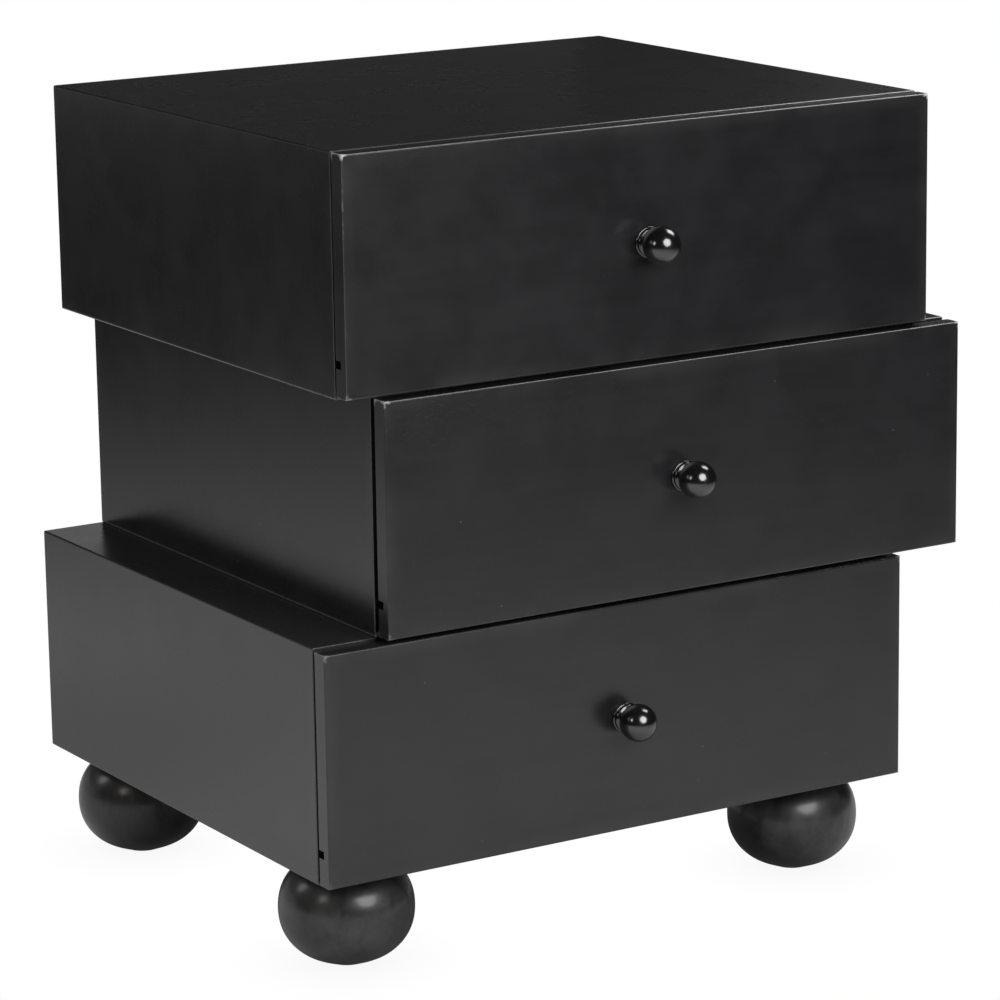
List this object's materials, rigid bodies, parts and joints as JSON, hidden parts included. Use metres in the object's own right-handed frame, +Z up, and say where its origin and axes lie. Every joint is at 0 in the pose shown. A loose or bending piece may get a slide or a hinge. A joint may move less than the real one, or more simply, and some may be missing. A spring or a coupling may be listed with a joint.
{
  "type": "nightstand with drawers",
  "caption": "Black wooden nightstand of staggered stacked boxes on turned ball feet, each box with a sliding drawer and a ball knob.",
  "frame": {"origin": "centre of the bottom of the whole object's box, on the floor", "axes": "+X to the right seen from the front, +Y to the back, +Z up; the drawers open along -Y"},
  "size_m": [0.5594, 0.4858, 0.6105],
  "materials": {
    "black_wood": "black stain under satin lacquer, faint straight grain",
    "foot_wood": "turned wood, black stain under satin lacquer",
    "knob_lacquer": "turned wood, glossy black lacquer",
    "drawer_wood": "black-stained solid wood, thin matt lacquer",
    "drawer_base": "black-stained plywood, matt",
    "rail_steel": "zinc-plated folded sheet",
    "screw_steel": "zinc-plated"
  },
  "bodies": {
    "cabinet": {"bottom_box_left_side": "black_wood", "bottom_box_right_side": "black_wood", "bottom_box_bottom_panel": "black_wood", "bottom_box_top_panel": "black_wood", "bottom_box_back_panel": "black_wood", "middle_box_left_side": "black_wood", "middle_box_right_side": "black_wood", "middle_box_bottom_panel": "black_wood", "middle_box_top_panel": "black_wood", "middle_box_back_panel": "black_wood", "top_box_left_side": "black_wood", "top_box_right_side": "black_wood", "top_box_bottom_panel": "black_wood", "top_box_top_panel": "black_wood", "top_box_back_panel": "black_wood", "bottom_left_cabinet_rail": "rail_steel", "bottom_right_cabinet_rail": "rail_steel", "middle_left_cabinet_rail": "rail_steel", "middle_right_cabinet_rail": "rail_steel", "top_left_cabinet_rail": "rail_steel", "top_right_cabinet_rail": "rail_steel", "front_left_foot": "foot_wood", "front_right_foot": "foot_wood", "back_left_foot": "foot_wood", "back_right_foot": "foot_wood", "foot_bolts": "screw_steel", "box_joining_screws": "screw_steel", "back_panel_screws": "screw_steel", "rail_screws": "screw_steel"},
    "bottom_drawer": {"bottom_drawer_front": "black_wood", "bottom_drawer_left_side": "drawer_wood", "bottom_drawer_right_side": "drawer_wood", "bottom_drawer_back": "drawer_wood", "bottom_drawer_base": "drawer_base", "bottom_drawer_knob": "knob_lacquer", "bottom_drawer_knob_screw": "screw_steel", "bottom_left_drawer_rail": "rail_steel", "bottom_right_drawer_rail": "rail_steel"},
    "bottom_rails": {"bottom_intermediate_rails": "rail_steel"},
    "middle_drawer": {"middle_drawer_front": "black_wood", "middle_drawer_left_side": "drawer_wood", "middle_drawer_right_side": "drawer_wood", "middle_drawer_back": "drawer_wood", "middle_drawer_base": "drawer_base", "middle_drawer_knob": "knob_lacquer", "middle_drawer_knob_screw": "screw_steel", "middle_left_drawer_rail": "rail_steel", "middle_right_drawer_rail": "rail_steel"},
    "middle_rails": {"middle_intermediate_rails": "rail_steel"},
    "top_drawer": {"top_drawer_front": "black_wood", "top_drawer_left_side": "drawer_wood", "top_drawer_right_side": "drawer_wood", "top_drawer_back": "drawer_wood", "top_drawer_base": "drawer_base", "top_drawer_knob": "knob_lacquer", "top_drawer_knob_screw": "screw_steel", "top_left_drawer_rail": "rail_steel", "top_right_drawer_rail": "rail_steel"},
    "top_rails": {"top_intermediate_rails": "rail_steel"}
  },
  "joints": [
    {"name": "bottom_drawer_slide", "type": "slide", "parent": "cabinet", "child": "bottom_drawer", "axis": [0, -1, 0], "range_m": [0, 0.38]},
    {"name": "bottom_rails_slide", "type": "slide", "parent": "cabinet", "child": "bottom_rails", "axis": [0, -1, 0], "range_m": [0, 0.19]},
    {"name": "middle_drawer_slide", "type": "slide", "parent": "cabinet", "child": "middle_drawer", "axis": [0, -1, 0], "range_m": [0, 0.38]},
    {"name": "middle_rails_slide", "type": "slide", "parent": "cabinet", "child": "middle_rails", "axis": [0, -1, 0], "range_m": [0, 0.19]},
    {"name": "top_drawer_slide", "type": "slide", "parent": "cabinet", "child": "top_drawer", "axis": [0, -1, 0], "range_m": [0, 0.38]},
    {"name": "top_rails_slide", "type": "slide", "parent": "cabinet", "child": "top_rails", "axis": [0, -1, 0], "range_m": [0, 0.19]}
  ],
  "couplings": [
    {"joint": "bottom_rails_slide", "follows": "bottom_drawer_slide", "ratio": 0.5},
    {"joint": "middle_rails_slide", "follows": "middle_drawer_slide", "ratio": 0.5},
    {"joint": "top_rails_slide", "follows": "top_drawer_slide", "ratio": 0.5}
  ]
}
